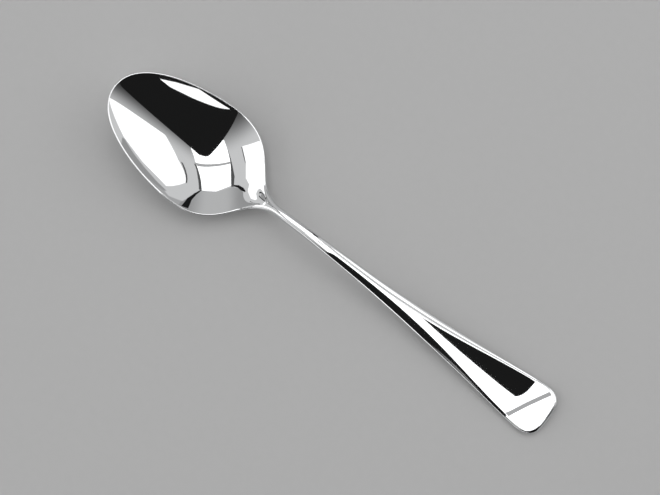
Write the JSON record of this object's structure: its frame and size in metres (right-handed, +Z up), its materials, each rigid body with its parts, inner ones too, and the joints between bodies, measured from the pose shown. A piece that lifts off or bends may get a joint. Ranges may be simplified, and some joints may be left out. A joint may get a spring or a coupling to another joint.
{
  "type": "tablespoon",
  "caption": "Mirror-polished steel tablespoon with an egg-shaped bowl, a slim stem and a plain handle widening to a squared round end.",
  "frame": {"origin": "on the table under the middle of the spoon's length and width, at the centre of the bottom of its bounding box", "axes": "+X from the tip of the bowl to the end of the handle, +Z up out of the open bowl as the spoon lies on a table, +Y completes the right-handed frame"},
  "size_m": [0.205, 0.0434, 0.02],
  "materials": {
    "polished_steel": "mirror-polished solid stainless steel"
  },
  "bodies": {
    "root": {"bowl": "polished_steel", "handle": "polished_steel"}
  },
  "joints": []
}
